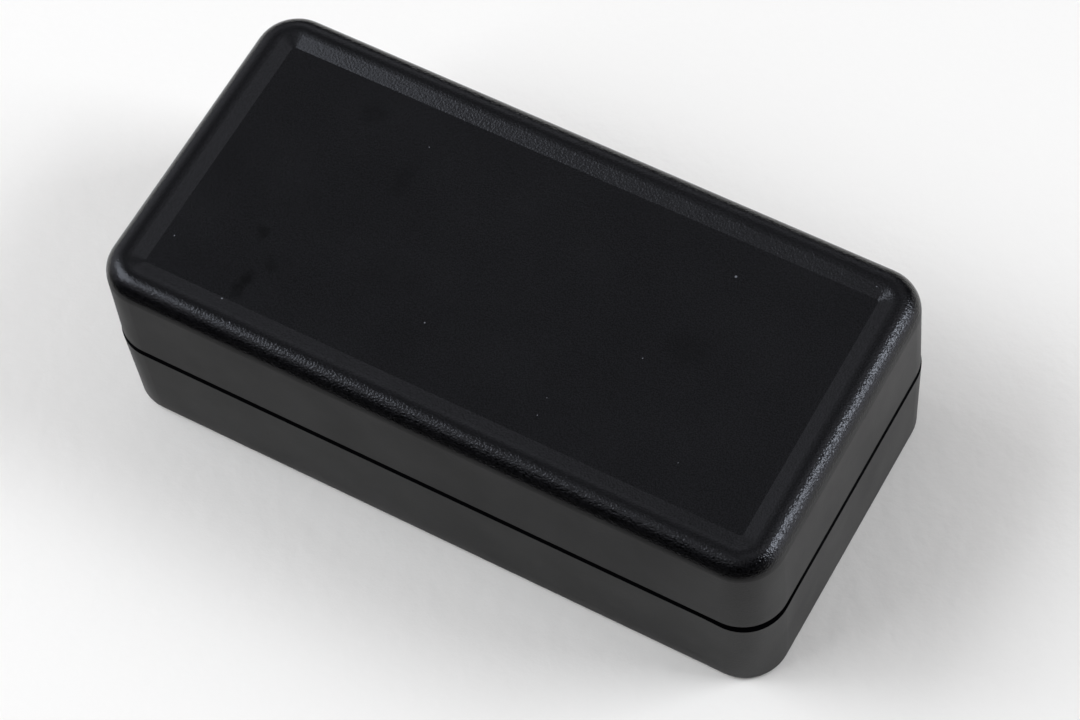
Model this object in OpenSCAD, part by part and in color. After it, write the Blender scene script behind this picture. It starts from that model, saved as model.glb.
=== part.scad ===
// Small plastic project box in two moulded shells.
// The cover carries a shallow label recess. The base has a standing lip that locates the cover,
// and four self-tapping screws driven from beneath hold the two together.
// Millimetres. The origin is the middle of the underside, X runs along the box and Z points up.

/* [Case] */
// Length of the closed box, measured at the cover's rim
case_length = 80; // [64:0.5:140]
// Width of the closed box, measured at the cover's rim
case_width = 39.7; // [34:0.1:90]
// Height of the closed box
case_height = 25.5; // [22:0.5:40]
// Height above the underside at which the two shells part
parting_height = 13; // [11:0.1:16]
// Radius of the four upright corners, measured at the cover's rim
corner_radius = 5; // [4:0.1:10]
// Thickness of the side walls
wall = 2; // [1.6:0.1:2.6]
// Thickness of the base's floor
floor_thickness = 2; // [1.5:0.1:3]
// Thickness of the cover's top under the label recess
top_thickness = 2; // [1.5:0.1:3]
// Draft of the cover's walls, in degrees
cover_draft = 1; // [0.5:0.1:2]
// Draft of the base's walls, in degrees
base_draft = 1.1; // [0.5:0.1:2]
// Radius of the cover's top edge
top_edge_radius = 2.25; // [1:0.05:3]
// Radius of the base's bottom edge
bottom_edge_radius = 0.8; // [0.4:0.1:1.5]
// Radius where the inside walls meet the floor and the ceiling
inner_edge_radius = 0.8; // [0.4:0.1:1.2]

/* [Label recess] */
// Depth of the label recess below the crest of the top edge
recess_depth = 0.65; // [0.3:0.05:1]
// Slope of the bevel that runs from the crest down to the recess, in degrees
bevel_angle = 19.5; // [14:0.5:45]

/* [Rim joint] */
// Height of the shadow gap between the two rims
rim_gap = 0.45; // [0.1:0.05:1]
// How far the base's rim stands out past the cover's rim, on each side
rim_step = 0.1; // [0:0.05:0.3]
// Chamfer on the outer edge of the cover's rim
cover_rim_chamfer = 0.12; // [0.05:0.01:0.4]
// Chamfer on the outer edge of the base's rim
base_rim_chamfer = 0.25; // [0.05:0.01:0.4]
// Height of the base's lip above the parting height
lip_height = 1.6; // [0.8:0.1:3]
// Thickness of the lip
lip_thickness = 0.85; // [0.6:0.05:1]
// Clearance between the lip and the cover, beside it and above it
lip_clearance = 0.12; // [0.05:0.01:0.3]
// Lead-in chamfer on the outer edge of the lip
lip_chamfer = 0.3; // [0.1:0.05:0.5]
// Depth to which the base's rim falls away at its front right corner
ease_depth = 0.57; // [0.1:0.01:0.8]
// Length of rim over which it falls away there
ease_span = 13; // [6:0.5:20]

/* [Bosses and screws] */
// Distance from the outside of the box to each screw's axis, along X and along Y
screw_inset = 7.5; // [6.6:0.1:9]
// Length of each screw under its head
screw_length = 12; // [10:0.5:14]
// Diameter of the screw's shank, taken at the middle of its thread
shank_diameter = 2.1; // [1.8:0.1:2.4]
// Diameter of the screw's head
head_diameter = 4.6; // [4:0.1:5]
// Height of the screw's head
head_height = 1.8; // [1.4:0.1:2.4]
// Radius of the head's outer edge
head_edge_radius = 0.9; // [0.4:0.1:1.2]
// Width of each arm of the head's cross recess
cross_width = 0.7; // [0.5:0.05:0.9]
// Span of the cross recess at the face of the head
cross_span = 2.6; // [2:0.1:3]
// Depth of the cross recess
cross_depth = 1.1; // [0.8:0.1:1.3]
// Height above the underside at which the screw's head seats
head_seat_height = 6; // [4:0.5:8]
// Clearance between the head and its counterbore
head_clearance = 0.3; // [0.1:0.05:0.5]
// Clearance between the shank and the hole that it passes through in the base
shank_clearance = 0.45; // [0.2:0.05:0.6]
// Clearance between the shank and the cover's pilot hole
pilot_clearance = 0.05; // [0.02:0.01:0.1]
// Depth of the pilot hole past the screw's tip
pilot_spare = 1; // [0.5:0.1:2]
// Wall of plastic round the counterbores and round the pilot holes
boss_wall = 1.3; // [1:0.1:1.8]
// Thickness of the ribs that tie the bosses to the side walls
rib_thickness = 1.2; // [0.8:0.1:1.6]
// How far the ribs stop short of the base's rim and of the lip
rib_setback = 1; // [0.5:0.1:2]

/* [Board posts] */
// Distance from the end of the box to each board post's axis
post_inset_x = 16; // [14:0.5:22]
// Distance from the front or back of the box to each board post's axis
post_inset_y = 6.85; // [6:0.05:9]
// Height of the board posts above the floor
post_height = 4; // [3:0.5:7]
// Diameter of the board posts
post_diameter = 4.6; // [3.6:0.1:6]
// Diameter of the pilot hole in each board post
post_bore = 2; // [1.6:0.1:2.4]
// Depth of the pilot hole in each board post
post_bore_depth = 4.6; // [3:0.1:5]

/* [Hidden] */
$fn = 96;

plastic = "#1d1e20";
steel = "#b9bcc0";

// Centres of the upright corner radii. Every swept profile is measured outwards from them.
corner_x = case_length / 2 - corner_radius;
corner_y = case_width / 2 - corner_radius;

// Heights of the rims, of the faces inside and of the lip
cover_rim_z = parting_height + rim_gap / 2;
base_rim_z = parting_height - rim_gap / 2;
recess_z = case_height - recess_depth;
ceiling_z = recess_z - top_thickness;
lip_top_z = parting_height + lip_height;

// Distances from the corner centres to the rims, the inside walls and the lip
cover_rim_r = corner_radius;
base_rim_r = cover_rim_r + rim_step;
cover_inner_r = cover_rim_r - wall;
base_inner_r = base_rim_r - wall;
lip_outer_r = base_inner_r + lip_thickness;

// Screw axes, and the sizes that follow from the screw
screw_x = case_length / 2 - screw_inset;
screw_y = case_width / 2 - screw_inset;
head_bore_diameter = head_diameter + 2 * head_clearance;
shank_bore_diameter = shank_diameter + 2 * shank_clearance;
pilot_diameter = shank_diameter + 2 * pilot_clearance;
pilot_top_z = head_seat_height + screw_length + pilot_spare;
base_boss_diameter = head_bore_diameter + 2 * boss_wall;
cover_boss_diameter = pilot_diameter + 2 * boss_wall;

// Board post axes and the height of their top faces
post_x = case_length / 2 - post_inset_x;
post_y = case_width / 2 - post_inset_y;
post_top_z = floor_thickness + post_height;

// How far shapes sink into the solid behind them, and cuts run past the face that they open
sink = wall / 2;

// ---- Swept shapes ----

// Sweeps a profile, drawn as (distance from the corner centre, height), round the rounded rectangle
module sweep() {
    for (side = [0 : 3]) {
        out = side % 2 == 0 ? corner_x : corner_y;
        run = side % 2 == 0 ? corner_y : corner_x;
        rotate(90 * side) translate([out, run, 0]) {
            rotate_extrude(angle = 90) intersection() {
                children();
                translate([0, -case_height]) square([2 * corner_radius, 3 * case_height]);
            }
            rotate([90, 0, 0]) linear_extrude(2 * run) children();
        }
    }
}

// The block that fills the middle of a swept solid between two heights
module core(bottom, top) {
    translate([-corner_x, -corner_y, bottom]) cube([2 * corner_x, 2 * corner_y, top - bottom]);
}

// Profile of a wall that leans in by its draft from a rim at height 0 to a rounded edge at the given
// height. It also runs past the rim by overrun.
module wall_profile(rim_r, height, draft, edge_radius, overrun = 0) {
    edge = [rim_r - (height - edge_radius) * tan(draft) - edge_radius / cos(draft), height - edge_radius];
    wall_end = edge + edge_radius * [cos(draft), sin(draft)];
    polygon([
        [-sink, -overrun], [rim_r, -overrun], [rim_r, 0], wall_end, edge, [edge.x, height], [-sink, height]
    ]);
    translate(edge) circle(edge_radius);
}

// The cut that takes the outer edge off a rim at height 0
module rim_chamfer_cut(rim_r, chamfer) {
    translate([rim_r, 0]) rotate(45) square(sqrt(2) * chamfer, center = true);
}

// ---- Cover ----

// Outside of the cover above its rim: drafted wall, rounded crest, and bevel down to the label recess
module cover_profile() {
    height = case_height - cover_rim_z;
    edge = [
        cover_rim_r - (height - top_edge_radius) * tan(cover_draft) - top_edge_radius / cos(cover_draft),
        height - top_edge_radius
    ];
    wall_end = edge + top_edge_radius * [cos(cover_draft), sin(cover_draft)];
    bevel_start = edge + top_edge_radius * [-sin(bevel_angle), cos(bevel_angle)];
    bevel_end_y = height - recess_depth;
    bevel_end_x = bevel_start.x - (bevel_start.y - bevel_end_y) / tan(bevel_angle);
    inside = min(0, bevel_end_x) - sink;
    polygon([
        [inside, 0], [cover_rim_r, 0], wall_end, edge, bevel_start, [bevel_end_x, bevel_end_y],
        [inside, bevel_end_y]
    ]);
    translate(edge) circle(top_edge_radius);
}

module cover_outside() {
    translate([0, 0, cover_rim_z]) sweep() difference() {
        cover_profile();
        rim_chamfer_cut(cover_rim_r, cover_rim_chamfer);
    }
    core(cover_rim_z, recess_z);
}

module cover_cavity() {
    translate([0, 0, cover_rim_z]) sweep()
        wall_profile(cover_inner_r, ceiling_z - cover_rim_z, cover_draft, inner_edge_radius, sink);
    core(cover_rim_z - sink, ceiling_z);
}

// The step inside the cover's rim that takes the base's lip
module lip_rebate() {
    rebate_r = lip_outer_r + lip_clearance;
    rebate_top = lip_top_z + lip_clearance;
    translate([0, 0, cover_rim_z - sink]) sweep() square([rebate_r, rebate_top - cover_rim_z + sink]);
}

module cover() {
    color(plastic) difference() {
        union() {
            difference() {
                cover_outside();
                cover_cavity();
                lip_rebate();
            }
            at_screws() {
                translate([0, 0, parting_height])
                    cylinder(h = ceiling_z + sink - parting_height, d = cover_boss_diameter);
                boss_ribs(lip_top_z + rib_setback, ceiling_z + sink);
            }
        }
        at_screws() translate([0, 0, parting_height - sink])
            cylinder(h = pilot_top_z - parting_height + sink, d = pilot_diameter);
    }
}

// ---- Base ----

module base_outside() {
    sweep() translate([0, base_rim_z]) mirror([0, 1]) difference() {
        wall_profile(base_rim_r, base_rim_z, base_draft, bottom_edge_radius);
        rim_chamfer_cut(base_rim_r, base_rim_chamfer);
    }
    core(0, base_rim_z);
}

module base_cavity() {
    sweep() translate([0, base_rim_z]) mirror([0, 1])
        wall_profile(base_inner_r, base_rim_z - floor_thickness, base_draft, inner_edge_radius, sink);
    core(floor_thickness, base_rim_z + sink);
}

// The lip that stands inside the cover's rim
module lip() {
    sweep() polygon([
        [base_inner_r, base_rim_z - sink], [lip_outer_r, base_rim_z - sink],
        [lip_outer_r, lip_top_z - lip_chamfer], [lip_outer_r - lip_chamfer, lip_top_z],
        [base_inner_r, lip_top_z]
    ]);
}

// The long shallow scoop by which the rim falls away at the front right corner
module rim_ease() {
    scoop_radius = (ease_span * ease_span / 4 + ease_depth * ease_depth) / (2 * ease_depth);
    translate([corner_x, -corner_y, base_rim_z - ease_depth + scoop_radius]) rotate([0, 90, -45])
        cylinder(h = 2 * corner_radius, r = scoop_radius, $fn = 720);
}

module base() {
    color(plastic) difference() {
        union() {
            difference() {
                base_outside();
                base_cavity();
                rim_ease();
            }
            lip();
            at_screws() {
                translate([0, 0, floor_thickness - sink])
                    cylinder(h = parting_height - floor_thickness + sink, d = base_boss_diameter);
                boss_ribs(floor_thickness - sink, base_rim_z - rib_setback);
            }
            at_posts() translate([0, 0, floor_thickness - sink])
                cylinder(h = post_height + sink, d = post_diameter);
        }
        at_screws() translate([0, 0, -sink]) {
            cylinder(h = head_seat_height + sink, d = head_bore_diameter);
            cylinder(h = parting_height + 2 * sink, d = shank_bore_diameter);
        }
        at_posts() translate([0, 0, post_top_z - post_bore_depth])
            cylinder(h = post_bore_depth + sink, d = post_bore);
    }
}

// ---- Bosses, posts and screws ----

// Places its children at all four screw axes, each turned so that +X and +Y point to its own corner
module at_screws() {
    for (sx = [-1, 1], sy = [-1, 1]) at_screw(sx, sy) children();
}

module at_screw(sx, sy) {
    translate([sx * screw_x, sy * screw_y, 0]) mirror([sx < 0 ? 1 : 0, 0]) mirror([0, sy < 0 ? 1 : 0]) children();
}

module at_posts() {
    for (sx = [-1, 1], sy = [-1, 1]) translate([sx * post_x, sy * post_y, 0]) children();
}

// The two ribs that tie one boss to the end wall and to the side wall
module boss_ribs(bottom, top) {
    reach = screw_inset - sink;
    translate([0, -rib_thickness / 2, bottom]) cube([reach, rib_thickness, top - bottom]);
    translate([-rib_thickness / 2, 0, bottom]) cube([rib_thickness, reach, top - bottom]);
}

// Pan-head screw that points up, with the seat of its head at height 0
module screw() {
    shank_r = shank_diameter / 2;
    head_r = head_diameter / 2;
    color(steel) difference() {
        rotate_extrude() {
            polygon([[0, 0], [shank_r, 0], [shank_r, screw_length - shank_r], [0, screw_length]]);
            translate([0, -head_height]) square([head_r - head_edge_radius, head_height]);
            translate([0, head_edge_radius - head_height]) square([head_r, head_height - head_edge_radius]);
            translate([head_r - head_edge_radius, head_edge_radius - head_height]) circle(head_edge_radius);
        }
        translate([0, 0, -head_height]) cross_recess();
    }
}

// Cross recess that opens downwards at height 0 and narrows as it goes in
module cross_recess() {
    intersection() {
        union() {
            for (turn = [0, 90]) rotate(turn)
                translate([-cross_span / 2, -cross_width / 2, -sink]) cube([cross_span, cross_width, cross_depth + sink]);
        }
        cylinder(h = 2 * cross_span, d1 = cross_span, d2 = 0, center = false);
    }
}

module screw_front_left() at_screw(-1, -1) translate([0, 0, head_seat_height]) screw();
module screw_front_right() at_screw(1, -1) translate([0, 0, head_seat_height]) screw();
module screw_back_left() at_screw(-1, 1) translate([0, 0, head_seat_height]) screw();
module screw_back_right() at_screw(1, 1) translate([0, 0, head_seat_height]) screw();

cover();
base();
screw_front_left();
screw_front_right();
screw_back_left();
screw_back_right();
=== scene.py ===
"""Looks of the small plastic project box: its camera, its materials, and the table and light around it."""
import math

import bpy
from mathutils import Matrix, Vector


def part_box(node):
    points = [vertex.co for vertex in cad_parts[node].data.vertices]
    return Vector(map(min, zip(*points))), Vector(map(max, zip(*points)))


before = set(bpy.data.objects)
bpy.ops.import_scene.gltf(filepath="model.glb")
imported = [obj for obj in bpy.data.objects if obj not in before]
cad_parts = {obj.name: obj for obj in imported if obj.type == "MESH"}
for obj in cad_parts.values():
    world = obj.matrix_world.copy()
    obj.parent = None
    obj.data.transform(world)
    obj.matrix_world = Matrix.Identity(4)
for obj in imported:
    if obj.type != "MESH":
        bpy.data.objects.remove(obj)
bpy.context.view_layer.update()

# Lengths are in metres, and angles in degrees. A range is (where a change starts, where it ends).

# ---- Camera: a long lens that looks down on the near right corner ----
SENSOR_WIDTH_MM = 36.0
LENS_MM = 116.97
CAMERA_AZIMUTH = 36.145  # from the front towards the right
CAMERA_ELEVATION = 60.263
CAMERA_ROLL = -8.01
CAMERA_DISTANCE = 0.37652
CAMERA_TARGET = Vector((0.00261, 0.0001, 0.010))
CLIP_START = 0.01
CLIP_END = 20

# ---- Plastic ----
PITS_COLOR = (0.0003, 0.0003, 0.0003)
PLASTIC_COLOR = (0.0054, 0.0052, 0.0056)
PLASTIC_IOR = 1.378  # lower than that of real plastic, and fitted to this light together with the colour
EDGE_ROUGHNESS = 0.145  # the rounded top edge
RECESS_ROUGHNESS = 0.24  # the label area and its bevel
WALL_ROUGHNESS = 0.45  # the drafted walls
# How level a face is, from 0 upright to 1 level, as a wall turns into the top
FACING_UP = (0.15, 0.5)
CREST_INSET = 0.0025  # from the cover's outside to the crest around the label area
CREST_BLEND = 0.0004
GRAIN_PER_METRE = 4500  # cells of the moulded grain
GRAIN_HEIGHT = 0.000053
# Shares of that height, by place
CREST_GRAIN = 0.75
EDGE_GRAIN = 1.3  # on the outer slope of the rounded edge
RECESS_GRAIN = 0.5
WALL_GRAIN = 0.25
# How level the rounded edge is, as its outer slope turns into the crest
EDGE_SLOPE = (0.90, 0.985)
# The grain is made shallower towards the left end, to this share, over this range of X
LEFT_GRAIN = 0.5
LEFT_END = (-0.040, -0.005)
SPECKLE_SCALE = 1.7  # how much finer the speckle in the colour is than the grain
SPECKLE_CONTRAST = (0.41, 0.59)
# A slow waver of the roughness over the whole box
WAVER_STRENGTH = 0.16
WAVER_PER_METRE = 130
# Greasy smears on the label area, which look dark: place, half-widths and strength
SMEARS = (
    (-0.0246, -0.0130, 0.0007, 0.0019, 1.0),
    (-0.0231, -0.0096, 0.0009, 0.0009, 0.5),
    (-0.0260, -0.0065, 0.0008, 0.0008, 0.7),
    (-0.0232, 0.0118, 0.0018, 0.0015, 0.5),
    (-0.0160, 0.0062, 0.0011, 0.0024, 0.35),
    (-0.0112, -0.0047, 0.0036, 0.0026, 0.25),
    (0.0203, 0.0013, 0.0024, 0.0022, 0.4),
)
SMEAR_EDGE = (0.3, 1.4)  # where a smear fades out, in half-widths
SMEAR_RAGS_PER_METRE = 700  # cells of the noise that makes the edges ragged
SMEAR_RAGGEDNESS = 0.0016  # how far it moves them
SMEAR_PATCHES_PER_METRE = 1600
SMEAR_PATCH_CONTRAST = (0.3, 0.6)
SMEAR_PATCH_LOW = 0.55  # strength left in the thin patches of a smear
SMEAR_GLOSS = 0.1  # how far a smear lowers the roughness

# ---- Joint: the rims' edges, painted dark and dull as painted shade of the gap between the rims ----
# They are the faces between these two heights that aren't wall
JOINT_BOTTOM = 0.0121
JOINT_TOP = 0.0135
JOINT_SLOPE = 0.3  # how level such a face is at least, from 0 upright to 1 level
# painted shade: this near-black colour, with the low IOR and high roughness below, makes these faces as dark
# as the shade in the gap
JOINT_SHADE_COLOR = (0.0006, 0.0006, 0.0008)
JOINT_IOR = 1.12
JOINT_ROUGHNESS = (0.7, 0.9)

# ---- Dust: its colour, and the larger specks on the label area, by place and radius ----
DUST_COLOR = (0.13, 0.13, 0.135)
DUST_SPECKS = (
    (0.0209, 0.0111, 0.00014),
    (-0.0052, -0.0083, 0.00009),
    (0.0169, -0.0018, 0.00007),
    (-0.0256, -0.0154, 0.00012),
    (-0.0342, -0.0111, 0.00008),
    (-0.0156, 0.0106, 0.00006),
    (0.0105, -0.0125, 0.00006),
    (0.0104, -0.0103, 0.00005),
    (0.0258, -0.0108, 0.00005),
)
SPECK_EDGE = (0.6, 1.2)  # where a speck fades out, in radii
FINE_DUST_PER_METRE = 260  # cells that each hold one grain of fine dust at most
FINE_DUST_CHOICE = (0.75, 1.0)  # a cell's random value, from no grain to the largest
FINE_DUST_RADIUS = 0.02  # of the largest grain, in cells
DUST_FLOOR = 0.015  # no dust below this height
DUST_ROUGHNESS = 0.5  # how far dust raises the roughness

# ---- Steel of the screws ----
STEEL_COLOR = (0.62, 0.63, 0.64)
STEEL_ROUGHNESS = (0.28, 0.42)

# The roughness of the steel and of the joint goes from low to high over a fine mottle
MOTTLE_PER_METRE = 1500
MOTTLE_CONTRAST = (0.3, 0.7)

# ---- Table ----
TABLE_SIZE = 4.0
PAPER_COLOR = (0.917, 0.87, 0.771)
PAPER_GRAIN_PER_METRE = 450
PAPER_GRAIN_HEIGHT = 0.00009
MATT_ROUGHNESS = 0.9
# A black card lies in front of the box, and only reflections see it: it keeps the near side dark.
# It is mostly clear beside the box, and opaque from CARD_FADE in front of it
CARD_FADE = 0.07
CARD_NEAR_ALPHA = 0.27
CARD_DEPTH = 0.5
CARD_WIDTH = 1.0
CARD_HEIGHT = 0.001

# ---- Light: softboxes in a dim room, all a little cooler than the paper is warm ----
# Azimuths run from +X towards +Y. Directions, sizes and sharpnesses are chosen. The brightnesses
# started as a least-squares fit, and were then rounded, scaled together and partly changed.
SOFTBOX_TINT = (0.935, 1.0, 1.14)
ROOM_TINT = (0.985, 1.0, 1.11)
# Each softbox: azimuth, elevation, distance, width, height and brightness
SOFTBOXES = {
    "softbox_right": (28, 38, 0.8, 0.34, 0.28, 8.7),
    "softbox_right_top": (30, 46, 0.8, 0.36, 0.14, 2.6),
    "softbox_left": (195, 47, 0.8, 0.4, 0.45, 3.85),
}
# Fills the shadow on the table in front, out of sight of reflections
FILL = (222, 42, 0.8, 0.5, 0.5, 3.1)
# Soft glows of the room: azimuth, elevation, sharpness and brightness
GLOWS = (
    (25, 5, 14, 2.15),
    (48, 58, 25, 0.5),
    (60, 66, 14, 0.46),
    (112, 34, 25, 0.66),
    (150, 32, 14, 0.3),
    (180, 15, 8, 0.95),
    (220, 68, 10, 0.31),
    (240, 45, 20, 0.55),
    (265, 62, 14, 0.35),
)
# The Y of a direction in the room, as the black front turns into the rest of the room
DARK_FRONT = (-0.9, -0.5)


def fill_socket(tree, socket, value):
    """Links a socket to the output of another node, or gives it a plain value."""
    if isinstance(value, bpy.types.NodeSocket):
        tree.links.new(value, socket)
    else:
        socket.default_value = value


def node(tree, kind, inputs=None, **settings):
    """Adds a shader node. An input is a number, a colour, or the output of another node."""
    made = tree.nodes.new("ShaderNode" + kind)
    for name, value in settings.items():
        setattr(made, name, value)
    for name, value in (inputs or {}).items():
        fill_socket(tree, made.inputs[name], value)
    return made


def math_node(tree, operation, *values):
    made = node(tree, "Math", operation=operation)
    for socket, value in zip(made.inputs, values):
        fill_socket(tree, socket, value)
    return made.outputs[0]


def vector_node(tree, operation, first, second=None):
    inputs = {0: first} if second is None else {0: first, 1: second}
    return node(tree, "VectorMath", inputs, operation=operation)


def split(tree, vector):
    """The X, Y and Z of a vector."""
    return node(tree, "SeparateXYZ", {"Vector": vector}).outputs


def object_place(tree):
    return node(tree, "TexCoord").outputs["Object"]


def remap(tree, value, span, to_low, to_high, interpolation="SMOOTHSTEP"):
    """Goes from to_low to to_high as the value crosses the span."""
    made = node(tree, "MapRange", {"Value": value}, interpolation_type=interpolation)
    for socket, number in zip(("From Min", "From Max", "To Min", "To Max"), (*span, to_low, to_high)):
        made.inputs[socket].default_value = number
    return made.outputs[0]


def noise(tree, where, scale, detail=2.0):
    return node(tree, "TexNoise", {"Vector": where, "Scale": scale, "Detail": detail}).outputs[0]


def make_camera():
    """Stands the camera at an azimuth, an elevation and a distance from its target, a little rolled."""
    azimuth, elevation, roll = map(math.radians, (CAMERA_AZIMUTH, CAMERA_ELEVATION, CAMERA_ROLL))
    level = math.cos(elevation)
    back = Vector((math.sin(azimuth) * level, -math.cos(azimuth) * level, math.sin(elevation)))
    level_right = Vector((math.cos(azimuth), math.sin(azimuth), 0))
    level_up = back.cross(level_right)
    right = level_right * math.cos(roll) + level_up * math.sin(roll)
    up = level_up * math.cos(roll) - level_right * math.sin(roll)
    data = bpy.data.cameras.new("camera")
    data.sensor_width = SENSOR_WIDTH_MM
    data.lens = LENS_MM
    data.clip_start = CLIP_START
    data.clip_end = CLIP_END
    camera = bpy.data.objects.new("camera", data)
    bpy.context.scene.collection.objects.link(camera)
    rotation = Matrix((right, up, back)).transposed()
    camera.matrix_world = Matrix.Translation(CAMERA_TARGET + back * CAMERA_DISTANCE) @ rotation.to_4x4()
    bpy.context.scene.camera = camera


def principled(name, color, roughness):
    material = bpy.data.materials.new(name)
    material.use_nodes = True
    shader = material.node_tree.nodes["Principled BSDF"]
    shader.inputs["Base Color"].default_value = (*color, 1)
    shader.inputs["Roughness"].default_value = roughness
    return material, material.node_tree, shader


def mottled(name, color, roughness):
    """A material whose roughness goes between two values over a fine mottle."""
    low, high = roughness
    material, tree, shader = principled(name, color, (low + high) / 2)
    mottle = noise(tree, object_place(tree), MOTTLE_PER_METRE)
    tree.links.new(remap(tree, mottle, MOTTLE_CONTRAST, low, high), shader.inputs["Roughness"])
    return material, shader


def dust(tree, where, height, facing_up):
    """Dust on the top: a few larger specks, and a thin scatter of fine grains."""
    fine = node(tree, "TexVoronoi", {"Vector": where, "Scale": FINE_DUST_PER_METRE})
    chosen = node(tree, "SeparateColor", {"Color": fine.outputs["Color"]})
    size = remap(tree, chosen.outputs[0], FINE_DUST_CHOICE, 0, FINE_DUST_RADIUS, "LINEAR")
    total = math_node(tree, "LESS_THAN", fine.outputs["Distance"], size)
    level = vector_node(tree, "MULTIPLY", where, (1, 1, 0)).outputs[0]
    for x, y, radius in DUST_SPECKS:
        away = vector_node(tree, "DISTANCE", level, (x, y, 0)).outputs["Value"]
        edge = [radius * reach for reach in SPECK_EDGE]
        total = math_node(tree, "MAXIMUM", total, remap(tree, away, edge, 1, 0))
    on_top = math_node(tree, "GREATER_THAN", height, DUST_FLOOR)
    return math_node(tree, "MULTIPLY", math_node(tree, "MULTIPLY", total, on_top), facing_up)


def smears(tree, where):
    """Greasy smears with ragged edges: 1 where they are strongest, 0 outside them."""
    rags = node(tree, "TexNoise", {"Vector": where, "Scale": SMEAR_RAGS_PER_METRE, "Detail": 2})
    centred = vector_node(tree, "SUBTRACT", rags.outputs["Color"], (0.5, 0.5, 0.5)).outputs[0]
    shift = node(tree, "VectorMath", {0: centred, "Scale": SMEAR_RAGGEDNESS}, operation="SCALE").outputs[0]
    shifted = vector_node(tree, "ADD", where, shift).outputs[0]
    total = 0.0
    for x, y, half_x, half_y, strength in SMEARS:
        away = vector_node(tree, "SUBTRACT", shifted, (x, y, 0)).outputs[0]
        scaled = vector_node(tree, "MULTIPLY", away, (1 / half_x, 1 / half_y, 0)).outputs[0]
        distance = vector_node(tree, "LENGTH", scaled).outputs["Value"]
        total = math_node(tree, "MAXIMUM", remap(tree, distance, SMEAR_EDGE, strength, 0), total)
    patches = noise(tree, where, SMEAR_PATCHES_PER_METRE)
    return math_node(tree, "MULTIPLY", total, remap(tree, patches, SMEAR_PATCH_CONTRAST, SMEAR_PATCH_LOW, 1))


def inside_crest(tree, where):
    """1 on the label area and its bevel, 0 outside the crest."""
    _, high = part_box("cover")
    half = (high[0] - CREST_INSET, high[1] - CREST_INSET, 1)
    across = vector_node(tree, "ABSOLUTE", where).outputs[0]
    margin = split(tree, vector_node(tree, "SUBTRACT", half, across).outputs[0])
    nearest = math_node(tree, "MINIMUM", margin["X"], margin["Y"])
    return remap(tree, nearest, (-CREST_BLEND, CREST_BLEND), 0, 1)


def blend(tree, factor, first, second):
    """Goes from the first number to the second as the factor goes from 0 to 1."""
    made = node(tree, "Mix", data_type="FLOAT")
    for socket, value in zip((made.inputs[0], made.inputs[2], made.inputs[3]), (factor, first, second)):
        fill_socket(tree, socket, value)
    return made.outputs[0]


def blend_color(tree, factor, first, second):
    """The same for colours, each a triple or the output of another node."""
    made = node(tree, "Mix", data_type="RGBA")
    tree.links.new(factor, made.inputs[0])
    for socket, value in zip((made.inputs[6], made.inputs[7]), (first, second)):
        fill_socket(tree, socket, (*value, 1) if isinstance(value, tuple) else value)
    return made.outputs[2]


def plastic_color(tree, where, smeared, dusty):
    """A fine speckle of dark pits, as dark all over as a pit where smeared, with the dust over it."""
    grains = noise(tree, where, GRAIN_PER_METRE * SPECKLE_SCALE, 0)
    speckle = remap(tree, grains, SPECKLE_CONTRAST, 0, 1, "LINEAR")
    shown = math_node(tree, "MULTIPLY", speckle, math_node(tree, "SUBTRACT", 1, smeared))
    return blend_color(tree, dusty, blend_color(tree, shown, PITS_COLOR, PLASTIC_COLOR), DUST_COLOR)


def plastic_roughness(tree, where, facing_up, recess, smeared, dusty):
    """By place, with a slow waver, lower in the smears and higher in the dust."""
    roughness = blend(tree, facing_up, WALL_ROUGHNESS, blend(tree, recess, EDGE_ROUGHNESS, RECESS_ROUGHNESS))
    centred = math_node(tree, "SUBTRACT", noise(tree, where, WAVER_PER_METRE, 3), 0.5)
    waver = math_node(tree, "MULTIPLY", centred, WAVER_STRENGTH)
    greasy = math_node(tree, "MULTIPLY", smeared, SMEAR_GLOSS)
    clean = math_node(tree, "SUBTRACT", math_node(tree, "ADD", roughness, waver), greasy)
    return math_node(tree, "ADD", clean, math_node(tree, "MULTIPLY", dusty, DUST_ROUGHNESS))


def plastic_grain(tree, where, along, up, facing_up, recess):
    """The bump of the moulded grain, strongest on the rounded edge and shallower at the left end."""
    slope = remap(tree, up, EDGE_SLOPE, EDGE_GRAIN, CREST_GRAIN)
    share = blend(tree, facing_up, WALL_GRAIN, blend(tree, recess, slope, RECESS_GRAIN))
    kept = remap(tree, along, LEFT_END, LEFT_GRAIN, 1)
    depth = math_node(tree, "MULTIPLY", share, kept)
    grain = math_node(tree, "MULTIPLY", noise(tree, where, GRAIN_PER_METRE, 1.0), depth)
    bump = node(tree, "Bump", {"Height": grain, "Distance": GRAIN_HEIGHT, "Strength": 1.0})
    return bump.outputs[0]


def make_plastic():
    """Black moulded plastic with a fine grain, faint smears, and dust on top."""
    material, tree, shader = principled("case_plastic", PLASTIC_COLOR, RECESS_ROUGHNESS)
    shader.inputs["IOR"].default_value = PLASTIC_IOR
    where = object_place(tree)
    place = split(tree, where)
    normal = split(tree, node(tree, "NewGeometry").outputs["Normal"])
    up = math_node(tree, "ABSOLUTE", normal["Z"])
    facing_up = remap(tree, up, FACING_UP, 0, 1)
    recess = inside_crest(tree, where)
    dusty = dust(tree, where, place["Z"], facing_up)
    smeared = math_node(tree, "MULTIPLY", smears(tree, where), recess)
    color = plastic_color(tree, where, smeared, dusty)
    roughness = plastic_roughness(tree, where, facing_up, recess, smeared, dusty)
    grain = plastic_grain(tree, where, place["X"], up, facing_up, recess)
    tree.links.new(color, shader.inputs["Base Color"])
    tree.links.new(roughness, shader.inputs["Roughness"])
    tree.links.new(grain, shader.inputs["Normal"])
    return material


def make_steel():
    """Zinc-plated steel with a fine mottle."""
    material, shader = mottled("screw_steel", STEEL_COLOR, STEEL_ROUGHNESS)
    shader.inputs["Metallic"].default_value = 1
    return material


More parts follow.
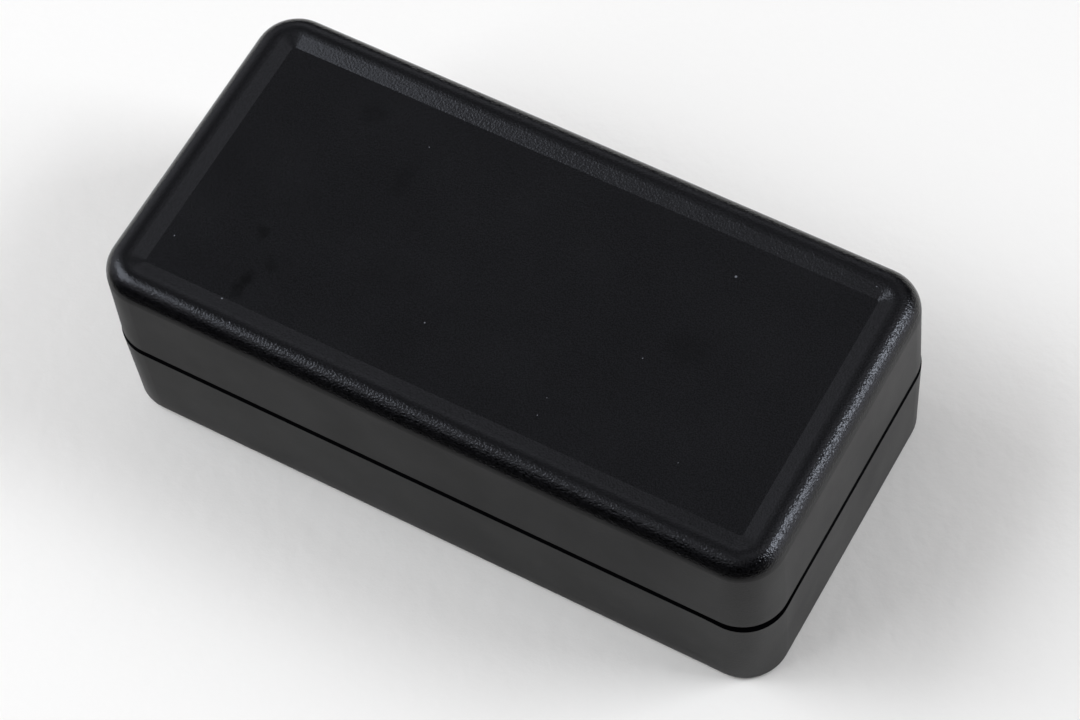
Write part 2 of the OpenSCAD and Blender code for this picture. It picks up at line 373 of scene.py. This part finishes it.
def make_painted_joint_shade():
    """Painted shade on the rims' edges: a near-black, dull plastic that stands in for the shade in the gap
    between the rims.
    """
    material, shader = mottled("joint_painted_shade", JOINT_SHADE_COLOR, JOINT_ROUGHNESS)
    shader.inputs["IOR"].default_value = JOINT_IOR
    return material


def flat_sheet(name, x_range, y_range, height, color):
    """A level rectangle with a matt material."""
    (x0, x1), (y0, y1) = x_range, y_range
    corners = [(x0, y0, height), (x1, y0, height), (x1, y1, height), (x0, y1, height)]
    mesh = bpy.data.meshes.new(name)
    mesh.from_pydata(corners, [], [(0, 1, 2, 3)])
    sheet = bpy.data.objects.new(name, mesh)
    bpy.context.scene.collection.objects.link(sheet)
    material, _, shader = principled(name, color, MATT_ROUGHNESS)
    shader.inputs["Specular IOR Level"].default_value = 0
    mesh.materials.append(material)
    return sheet


def make_table():
    """A large sheet of paper with a faint grain."""
    half = TABLE_SIZE / 2
    paper = flat_sheet("paper", (-half, half), (-half, half), 0, PAPER_COLOR)
    tree = paper.active_material.node_tree
    cloudy = noise(tree, object_place(tree), PAPER_GRAIN_PER_METRE, 4)
    bump = node(tree, "Bump", {"Height": cloudy, "Distance": PAPER_GRAIN_HEIGHT, "Strength": 1.0})
    tree.links.new(bump.outputs[0], tree.nodes["Principled BSDF"].inputs["Normal"])


def make_card():
    """The black card in front of the box, which fades out towards it."""
    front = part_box("base")[0][1]
    half = CARD_WIDTH / 2
    card = flat_sheet("black_card", (-half, half), (front - CARD_DEPTH, front), CARD_HEIGHT, (0, 0, 0))
    card.visible_camera = False
    card.visible_diffuse = False
    card.visible_shadow = False
    tree = card.active_material.node_tree
    across = split(tree, object_place(tree))["Y"]
    alpha = remap(tree, across, (front - CARD_FADE, front), 1, CARD_NEAR_ALPHA)
    tree.links.new(alpha, tree.nodes["Principled BSDF"].inputs["Alpha"])


def direction(azimuth, elevation):
    azimuth, elevation = math.radians(azimuth), math.radians(elevation)
    level = math.cos(elevation)
    return Vector((level * math.cos(azimuth), level * math.sin(azimuth), math.sin(elevation)))


def make_softbox(name, azimuth, elevation, distance, width, height, brightness):
    """A rectangular lamp that faces the box. Its brightness is its radiance, so 1 looks white."""
    data = bpy.data.lights.new(name, "AREA")
    data.shape = "RECTANGLE"
    data.size = width
    data.size_y = height
    data.energy = brightness * math.pi * width * height
    data.color = SOFTBOX_TINT
    lamp = bpy.data.objects.new(name, data)
    bpy.context.scene.collection.objects.link(lamp)
    toward = direction(azimuth, elevation)
    rotation = toward.to_track_quat("Z", "Y").to_matrix().to_4x4()
    lamp.matrix_world = Matrix.Translation(toward * distance) @ rotation
    return lamp


def make_lamps():
    for name, settings in SOFTBOXES.items():
        make_softbox(name, *settings)
    make_softbox("fill", *FILL).visible_glossy = False


def make_world():
    """A dim room with soft glows and a dark front."""
    world = bpy.data.worlds.new("world")
    bpy.context.scene.world = world
    world.use_nodes = True
    tree = world.node_tree
    background = tree.nodes["Background"]
    background.inputs["Color"].default_value = (*ROOM_TINT, 1)
    toward = vector_node(tree, "NORMALIZE", node(tree, "TexCoord").outputs["Generated"]).outputs[0]
    total = 0.0
    for azimuth, elevation, sharpness, brightness in GLOWS:
        aligned = vector_node(tree, "DOT_PRODUCT", toward, direction(azimuth, elevation)).outputs["Value"]
        fall = math_node(tree, "MULTIPLY", math_node(tree, "SUBTRACT", aligned, 1), sharpness)
        glow = math_node(tree, "MULTIPLY", math_node(tree, "EXPONENT", fall), brightness)
        total = math_node(tree, "ADD", glow, total)
    lit = remap(tree, split(tree, toward)["Y"], DARK_FRONT, 0, 1)
    tree.links.new(math_node(tree, "MULTIPLY", total, lit), background.inputs["Strength"])


def paint(part, material):
    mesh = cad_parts[part].data
    mesh.materials.clear()
    mesh.materials.append(material)


def paint_joint_shade(part, material):
    """Gives the rims' edges the painted-shade material: the faces of the joint that aren't wall."""
    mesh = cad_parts[part].data
    mesh.materials.append(material)
    for face in mesh.polygons:
        if JOINT_BOTTOM < face.center.z < JOINT_TOP and abs(face.normal.z) > JOINT_SLOPE:
            face.material_index = 1


make_camera()
make_table()
make_card()
make_world()
make_lamps()
plastic = make_plastic()
steel = make_steel()
joint_shade = make_painted_joint_shade()
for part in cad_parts:
    paint(part, steel if part.startswith("screw") else plastic)
# the rims' edges get the painted shade of the joint
for part in ("cover", "base"):
    paint_joint_shade(part, joint_shade)

bpy.context.scene.view_settings.view_transform = "Standard"
